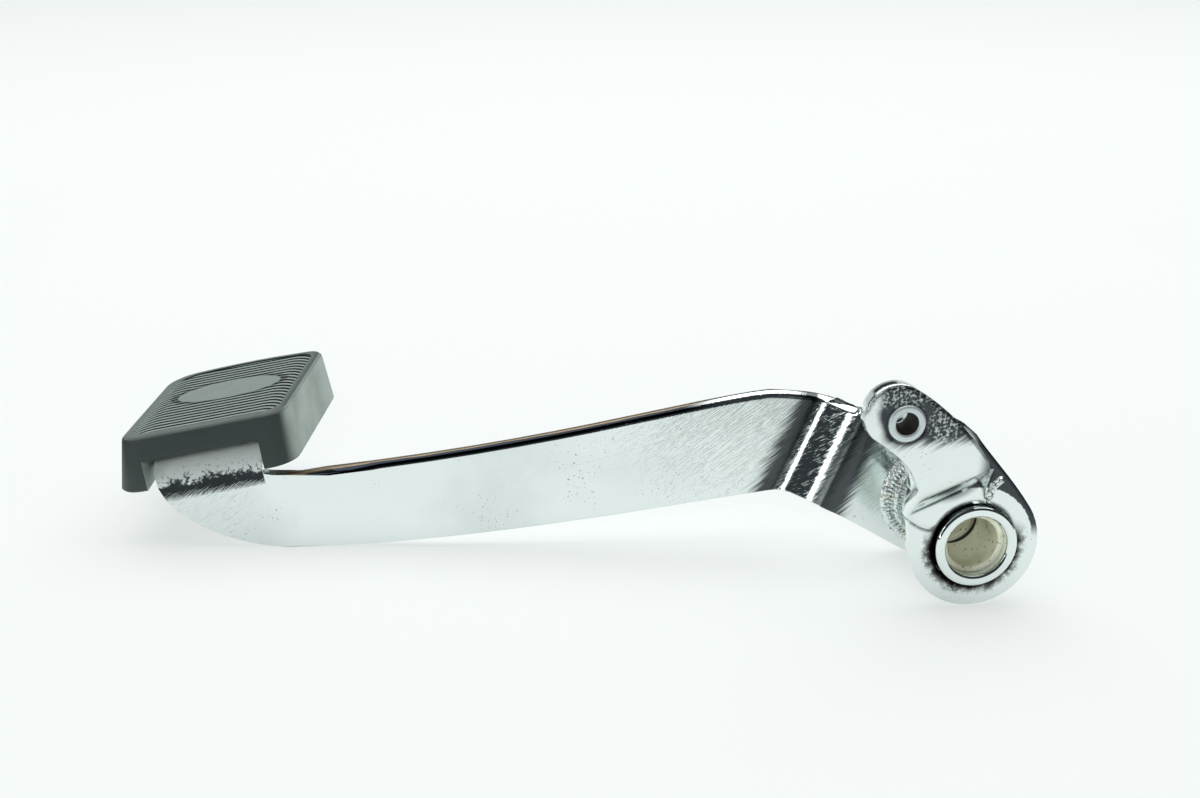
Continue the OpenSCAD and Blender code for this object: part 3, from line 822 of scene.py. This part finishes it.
@dataclass(frozen=True)
class PedalFrame:
    """Frames of the folded arm, from the same sizes in mm and degrees as the CAD part.

    Args:
        lean: Lean of the fold lines.
        yaw: Angle between blade and lug.
        jog: Steepest angle of the joggle.
        jog_r: Radius of its bends.
        jog_flat: Flat length between them.
        jog_start: Distance of the first fold from the pivot.
        lug_mid_y: Middle plane of the lug.
        roll_x: Distance of the flange's middle from the pivot.
        slope: Slope of the flange.
        drop: Drop of its lower line.
        roll_r: Inside radius of the roll.
        sheet: Thickness of the strip.
        pitch: Rise of the platform.
    """

    lean: float = 24.0
    yaw: float = 9.5
    jog: float = 52.0
    jog_r: float = 11.0
    jog_flat: float = 7.0
    jog_start: float = 26.5
    lug_mid_y: float = 40.9
    roll_x: float = 229.0
    slope: float = 11.0
    drop: float = 2.0
    roll_r: float = 9.0
    sheet: float = 4.8
    pitch: float = 4.0

    def blade_start(self) -> Vector:
        """Start of the blade's middle plane in the frame of the folds.

        Returns:
            The point in mm.
        """
        a, y = math.radians(self.jog), math.radians(self.yaw)
        at = Vector((-self.jog_start, self.lug_mid_y + self.jog_r, 0))
        at += self.jog_r * Vector((-math.sin(a), -math.cos(a), 0))
        at += self.jog_flat * Vector((-math.cos(a), math.sin(a), 0))
        at += self.jog_r * Vector((-math.sin(a), -math.cos(a), 0))
        return at + self.jog_r * Vector((math.sin(y), math.cos(y), 0))

    def folds(self) -> Matrix:
        """Frame of the joggle, X across its folds."""
        return Matrix.Rotation(math.radians(self.lean), 4, "Y")

    def roll(self) -> Matrix:
        """Frame of the roll in metres: X along the fold, Z up the blade."""
        lean, yaw = math.radians(self.lean), math.radians(self.yaw)
        start = self.blade_start()
        down = (-self.roll_x * math.cos(lean) - start.x) / math.cos(yaw)
        up = -self.roll_x * math.sin(lean)
        turn = math.atan(math.tan(math.radians(self.slope) + lean) * math.cos(yaw))
        folds = Matrix.Rotation(lean, 4, "Y") @ Matrix.Translation(start * MM)
        blade = folds @ Matrix.Rotation(-yaw, 4, "Z") @ Matrix.Translation(Vector((down, 0, up)) * MM)
        return blade @ Matrix.Rotation(-turn, 4, "Y") @ Matrix.Translation((0, 0, -self.drop * MM))

    def platform(self) -> Matrix:
        """Frame of the platform in metres, on the roll's axis."""
        axis = Vector((0, self.sheet / 2 + self.roll_r, 0)) * MM
        return self.roll() @ Matrix.Translation(axis) @ Matrix.Rotation(math.radians(self.pitch), 4, "X")


PEDAL = PedalFrame()
OVAL = (4.55, 25.85, 18.0, 10.0)
FIELD = (4.3, 21.6, 27.5, 31.5)
FIELD_Z = 22.0
ARM_CHROME = ArmChrome(
    Slot.ARM,
    pits=0.9,
    cloud=0.05,
    lines=0.018 * MM,
    calm=(-130.0, -60.0),
    toe=(-200.0, -225.0),
    roll=PEDAL.roll(),
    folds=PEDAL.folds(),
)
FINISHES = (
    ARM_CHROME,
    HubChrome(Slot.HUB, pits=0.7, cloud=0.05, lines=0.006 * MM, round_mm=2.2),
    TubeChrome(Slot.TUBE, pits=0.3, cloud=0.08, lines=0.0),
    Bronze(Slot.BUSH),
    Weld(Slot.WELD),
    Rubber(Slot.PAD, pad=PEDAL.platform(), oval=OVAL, ribbed=FIELD, floor_z=FIELD_Z),
)


def link(name: str, mesh: bpy.types.Mesh) -> bpy.types.Object:
    """Makes an object of a mesh and puts it in the scene.

    Args:
        name: Name of the object.
        mesh: Its mesh.

    Returns:
        The new object.
    """
    made = bpy.data.objects.new(name, mesh)
    bpy.context.scene.collection.objects.link(made)
    return made


def baked(source: bpy.types.Object, name: str) -> bpy.types.Object:
    """Turns an object with modifiers into a plain mesh object and removes the source.

    Args:
        source: Object with modifiers.
        name: Name of the plain one.

    Returns:
        The plain object.
    """
    graph = bpy.context.evaluated_depsgraph_get()
    mesh = bpy.data.meshes.new_from_object(source.evaluated_get(graph), depsgraph=graph)
    mesh.name = name
    bpy.data.objects.remove(source)
    return link(name, mesh)


def smooth(mesh: bpy.types.Mesh, angle: float) -> None:
    """Shades a mesh smoothly, except over edges sharper than the angle in degrees.

    Args:
        mesh: Mesh to shade.
        angle: Angle in degrees from which an edge stays sharp.
    """
    work = bmesh.new()
    work.from_mesh(mesh)
    for face in work.faces:
        face.smooth = True
    for edge in work.edges:
        edge.smooth = edge.calc_face_angle(math.pi) < math.radians(angle)
    work.to_mesh(mesh)
    work.free()


@dataclass
class Part:
    """One piece of the object: a copy of its CAD node with softened edges.

    Args:
        node: Name of the CAD node.
        slot: Material slot of the record.
        edge: Width in mm of the softening of its edges.
        top_edge: Width in mm for edges that look upwards, where it is larger.
        crisp: Ranges of X in mm inside which the edges stay crisp.
        sharp: Angle in degrees from which an edge is softened.
        steps: Faces across a softened edge.
        rising: Sum of the two faces' upward normals from which an edge looks upwards.
    """

    node: str
    slot: Slot
    edge: float
    top_edge: float = 0.0
    crisp: tuple[Pair, ...] = ()
    sharp: float = 28.0
    steps: int = 4
    rising: float = 0.7

    def is_crisp(self, edge: bmesh.types.BMEdge) -> bool:
        """Whether an edge reaches into a crisp range."""
        return any(low * MM < v.co.x < high * MM for low, high in self.crisp for v in edge.verts)

    def copy(self) -> bpy.types.Object:
        """Merged copy of the CAD mesh, with the share of softening on each edge.

        Returns:
            The copy, in the scene.
        """
        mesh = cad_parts[self.node].data.copy()
        work = bmesh.new()
        work.from_mesh(mesh)
        bmesh.ops.remove_doubles(work, verts=work.verts, dist=SAME_POINT)
        flat = math.radians(FLAT_ANGLE)
        bmesh.ops.dissolve_limit(work, angle_limit=flat, verts=work.verts, edges=work.edges)
        widest = max(self.edge, self.top_edge)
        share = work.edges.layers.float.new("bevel_weight_edge")
        for edge in work.edges:
            if edge.calc_face_angle(0.0) > math.radians(self.sharp) and not self.is_crisp(edge):
                upward = sum((face.normal.z for face in edge.link_faces)) > self.rising
                edge[share] = (widest if upward else self.edge) / widest
        work.to_mesh(mesh)
        work.free()
        mesh.materials.clear()
        return link(f"{self.node}_soft", mesh)

    def dress(self, made: bpy.types.Object, material: bpy.types.Material) -> bpy.types.Object:
        """Adds what the CAD piece leaves out; a plain piece stays as it is.

        Args:
            made: The piece so far.
            material: Its material.

        Returns:
            The piece with its additions.
        """
        return made

    def build(self, materials: dict[Slot, bpy.types.Material]) -> None:
        """Makes the finished piece, which stands for its CAD node.

        Args:
            materials: Material of each slot.
        """
        made = self.copy()
        smooth(made.data, self.sharp)
        bevel = made.modifiers.new("edges", "BEVEL")
        bevel.width = max(self.edge, self.top_edge) * MM
        bevel.segments = self.steps
        bevel.limit_method = "WEIGHT"
        bevel.use_clamp_overlap = not self.crisp
        bevel.harden_normals = True
        made = baked(made, f"{self.node}_finished")
        made.data.materials.append(materials[self.slot])
        made = self.dress(made, materials[self.slot])
        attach(made, "root")
        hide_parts(self.node)
        log.info("%s: %d faces", made.name, len(made.data.polygons))


def ripple_tree() -> bpy.types.NodeTree:
    """Node tree that lays beads round the pivot axis and joins them to a weld.

    Returns:
        The tree, with the inputs Ring, Depth, Count, Bead and Material.
    """
    tree = bpy.data.node_groups.new("weld_ripples", "GeometryNodeTree")
    face = tree.interface
    face.new_socket("Weld", in_out="INPUT", socket_type="NodeSocketGeometry")
    kinds = {"Ring": "Float", "Depth": "Vector", "Count": "Int", "Bead": "Vector", "Material": "Material"}
    for name, kind in kinds.items():
        face.new_socket(name, in_out="INPUT", socket_type=f"NodeSocket{kind}")
    face.new_socket("Geometry", in_out="OUTPUT", socket_type="NodeSocketGeometry")
    add, wire = tree.nodes.new, tree.links.new
    given, out = add("NodeGroupInput"), add("NodeGroupOutput")
    circle = add("GeometryNodeCurvePrimitiveCircle")
    wire(given.outputs["Ring"], circle.inputs["Radius"])
    spots = add("GeometryNodeCurveToPoints")
    spots.mode = "COUNT"
    wire(circle.outputs[0], spots.inputs["Curve"])
    wire(given.outputs["Count"], spots.inputs["Count"])
    ball = add("GeometryNodeMeshUVSphere")
    ball.inputs["Segments"].default_value = RIPPLE_SIDES
    ball.inputs["Rings"].default_value = RIPPLE_RINGS
    beads = add("GeometryNodeInstanceOnPoints")
    wire(spots.outputs["Points"], beads.inputs["Points"])
    wire(spots.outputs["Rotation"], beads.inputs["Rotation"])
    wire(ball.outputs["Mesh"], beads.inputs["Instance"])
    wire(given.outputs["Bead"], beads.inputs["Scale"])
    place = add("GeometryNodeTransform")
    wire(beads.outputs[0], place.inputs["Geometry"])
    wire(given.outputs["Depth"], place.inputs["Translation"])
    place.inputs["Rotation"].default_value = (math.pi / 2, 0, 0)
    real = add("GeometryNodeRealizeInstances")
    wire(place.outputs[0], real.inputs[0])
    soft = add("GeometryNodeSetShadeSmooth")
    wire(real.outputs[0], soft.inputs[0])
    both = add("GeometryNodeJoinGeometry")
    wire(given.outputs["Weld"], both.inputs[0])
    wire(soft.outputs[0], both.inputs[0])
    coat = add("GeometryNodeSetMaterial")
    wire(both.outputs[0], coat.inputs["Geometry"])
    wire(given.outputs["Material"], coat.inputs["Material"])
    wire(coat.outputs[0], out.inputs[0])
    return tree


@dataclass
class RippledWeld(Part):
    """A weld round the tube that shows the ripples of its making.

    Args:
        ring: Radius of the ripples' ring and its distance along the pivot axis, in mm.
        bead: Radius of a ripple and half its thickness along the weld, in mm.
        pitch: Distance between ripples, in half thicknesses.
    """

    ring: Pair = (10.0, 0.0)
    bead: Pair = (1.0, 1.0)
    pitch: float = 2.1

    def dress(self, made: bpy.types.Object, material: bpy.types.Material) -> bpy.types.Object:
        """Adds the ripples.

        Args:
            made: The weld so far.
            material: Its material.

        Returns:
            The weld with its ripples.
        """
        tree = ripple_tree()
        ripples = made.modifiers.new("ripples", "NODES")
        ripples.node_group = tree
        radius, depth = (v * MM for v in self.ring)
        wide, thin = (v * MM for v in self.bead)
        values = {
            "Ring": radius,
            "Depth": (0.0, depth, 0.0),
            "Count": round(math.tau * radius / (self.pitch * thin)),
            "Bead": (wide, wide, thin),
            "Material": material,
        }
        for item in tree.interface.items_tree:
            if item.in_out == "INPUT" and item.name in values:
                ripples[item.identifier] = values[item.name]
        return baked(made, made.name)


PARTS = (
    Part("pedal_arm", Slot.ARM, edge=0.5, top_edge=2.2, crisp=((-300, -206.5), (-24, 40))),
    Part("pivot_tube", Slot.TUBE, edge=0.25),
    Part("front_bush", Slot.BUSH, edge=0.15),
    Part("rear_bush", Slot.BUSH, edge=0.15),
    Part("hub_plate", Slot.HUB, edge=0.5),
    Part("rod_lever", Slot.HUB, edge=0.6),
    Part("rod_eye_bush", Slot.TUBE, edge=0.3),
    RippledWeld("arm_weld", Slot.WELD, edge=0.5, ring=(14.5, 36.6), bead=(1.7, 0.6)),
    Part("hub_weld", Slot.WELD, edge=0.4),
    Part("lever_weld", Slot.WELD, edge=0.5),
    Part("pad_rubber", Slot.PAD, edge=0.3),
)


@dataclass(frozen=True)
class Lamp:
    """A soft rectangular lamp.

    Args:
        name: Name of the lamp.
        place: Position in metres.
        aim: Point it faces, in metres.
        size: Width and height in metres.
        power: Power in watts.
        mirrored: Whether polished metal shows it.
    """

    name: str
    place: tuple[float, float, float]
    aim: tuple[float, float, float]
    size: tuple[float, float]
    power: float
    mirrored: bool = True

    def build(self) -> None:
        """Makes the lamp and puts it in the scene."""
        data = bpy.data.lights.new(self.name, "AREA")
        data.shape = "RECTANGLE"
        data.size, data.size_y = self.size
        data.energy = self.power
        made = bpy.data.objects.new(self.name, data)
        made.location = self.place
        made.visible_glossy = self.mirrored
        way = Vector(self.aim) - Vector(self.place)
        made.rotation_mode = "QUATERNION"
        made.rotation_quaternion = way.to_track_quat("-Z", "Y")
        bpy.context.scene.collection.objects.link(made)
        log.info("%s: %.1f W", self.name, self.power)


@dataclass(frozen=True)
class Studio:
    """Pale table, lamps, dark room and camera.

    Args:
        floor_reach: Half the width of the table in metres.
        floor_back: Reach of the table behind the object, in half widths.
        floor_rise: Height of the sheet behind it, in half widths.
        floor_colour: Linear colour of the table.
        backdrop: Linear colour that the table is veiled with where it is seen.
        veil: Share of that veil, 0 to 1.
        room: Linear colour of the room round it.
        shades: Dark sheets on the table, as x0, y0, x1, y1 in metres.
        lamps: The lamps.
        camera_place: Camera position in metres.
        azimuth: Turn of the camera round the object in degrees.
        elevation: Height of the camera above the horizon in degrees.
        lens: Focal length in mm.
    """

    floor_reach: float
    floor_colour: tuple[float, float, float, float]
    backdrop: tuple[float, float, float, float]
    veil: float
    room: tuple[float, float, float, float]
    shades: tuple[tuple[float, float, float, float], ...]
    lamps: tuple[Lamp, ...]
    camera_place: tuple[float, float, float]
    azimuth: float
    elevation: float
    lens: float
    floor_back: float = 1.5
    floor_rise: float = 0.5

    def build_floor(self) -> None:
        """Makes the table and the pale sheet that rises behind it."""
        r = self.floor_reach
        back, top = self.floor_back * r, self.floor_rise * r
        rim = [(-r, -r, 0), (r, -r, 0), (r, back, 0), (-r, back, 0), (r, back, top), (-r, back, top)]
        mesh = bpy.data.meshes.new("table")
        mesh.from_pydata([(x, y, z + FLOOR_Z) for x, y, z in rim], [], [(0, 1, 2, 3), (3, 2, 4, 5)])
        floor = link("table", mesh)
        g = Graph("table_top")
        table = g.surface(self.floor_colour, 0.9, 0.0)
        shader = next(n for n in g.nodes if n.type == "BSDF_PRINCIPLED")
        out = next(n for n in g.nodes if n.type == "OUTPUT_MATERIAL")
        glow = g.add("ShaderNodeEmission")
        glow.inputs["Color"].default_value = self.backdrop
        path = g.add("ShaderNodeLightPath")
        seen = g.math("ADD", path.outputs["Is Camera Ray"], path.outputs["Is Glossy Ray"])
        mixer = g.add("ShaderNodeMixShader")
        g.feed(mixer.inputs[0], g.math("MULTIPLY", seen, self.veil))
        g.links.new(shader.outputs[0], mixer.inputs[1])
        g.links.new(glow.outputs[0], mixer.inputs[2])
        g.links.new(mixer.outputs[0], out.inputs["Surface"])
        mesh.materials.append(table)

    def build_shades(self) -> None:
        """Lays dark sheets on the table beyond the photo, which only the chrome mirrors."""
        g = Graph("shade_cloth")
        cloth = g.surface(self.room, 1.0, 0.0)
        for number, (x0, y0, x1, y1) in enumerate(self.shades):
            mesh = bpy.data.meshes.new(f"shade_{number}")
            rim = ((x0, y0), (x1, y0), (x1, y1), (x0, y1))
            mesh.from_pydata([(x, y, FLOOR_Z + MM) for x, y in rim], [], [(0, 1, 2, 3)])
            mesh.materials.append(cloth)
            sheet = link(mesh.name, mesh)
            sheet.visible_camera = sheet.visible_diffuse = sheet.visible_shadow = False

    def build_room(self) -> None:
        """Makes the dark room that the chrome mirrors, pale where the camera sees it past the table."""
        world = bpy.data.worlds.new("room")
        bpy.context.scene.world = world
        world.use_nodes = True
        nodes, links = world.node_tree.nodes, world.node_tree.links
        nodes["Background"].inputs["Color"].default_value = self.room
        pale = nodes.new("ShaderNodeBackground")
        pale.inputs["Color"].default_value = self.backdrop
        mixer = nodes.new("ShaderNodeMixShader")
        links.new(nodes.new("ShaderNodeLightPath").outputs["Is Camera Ray"], mixer.inputs[0])
        links.new(nodes["Background"].outputs[0], mixer.inputs[1])
        links.new(pale.outputs[0], mixer.inputs[2])
        links.new(mixer.outputs[0], nodes["World Output"].inputs["Surface"])

    def build_camera(self) -> None:
        """Places the camera as the photo was taken."""
        data = bpy.data.cameras.new("camera")
        data.lens = self.lens
        data.sensor_width = SENSOR_MM
        camera = bpy.data.objects.new("camera", data)
        a, e = math.radians(self.azimuth), math.radians(self.elevation)
        back = Vector((math.sin(a) * math.cos(e), -math.cos(a) * math.cos(e), math.sin(e)))
        camera.location = self.camera_place
        camera.rotation_mode = "QUATERNION"
        camera.rotation_quaternion = (-back).to_track_quat("-Z", "Y")
        bpy.context.scene.collection.objects.link(camera)
        bpy.context.scene.camera = camera

    def build(self) -> None:
        """Makes the whole studio."""
        self.build_floor()
        self.build_shades()
        self.build_room()
        self.build_camera()
        for lamp in self.lamps:
            lamp.build()
        bpy.context.scene.render.engine = "CYCLES"
        bpy.context.scene.view_settings.view_transform = "Standard"


STUDIO = Studio(
    floor_reach=9.0,
    floor_colour=(0.80, 0.835, 0.825, 1.0),
    backdrop=(0.900, 0.940, 0.930, 1.0),
    veil=0.68,
    room=(0.035, 0.040, 0.045, 1.0),
    shades=((-8.9, -8.9, -0.34, 0.7), (-0.34, -8.9, 8.9, -0.30), (0.25, -0.30, 8.9, 0.7)),
    lamps=(
        Lamp("ceiling", (0.1, 0.9, 1.6), (0.1, 0.9, 0.0), (3.2, 2.4), 66.0),
        Lamp("strip", (-1.25, -0.50, 0.32), (-0.05, 0.05, 0.02), (0.20, 0.6), 1.9),
        Lamp("front", (-0.25, -1.10, 0.55), (0.0, 0.0, 0.0), (0.30, 0.3), 4.5, mirrored=False),
    ),
    camera_place=(-0.1842, -0.4610, 0.2106),
    azimuth=-8.73,
    elevation=18.83,
    lens=52.5,
)


def main() -> None:
    """Builds the finished pedal and its studio."""
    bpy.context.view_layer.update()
    materials = {finish.slot: finish.build() for finish in FINISHES}
    for part in PARTS:
        part.build(materials)
    STUDIO.build()


if __name__ == "__main__":
    main()
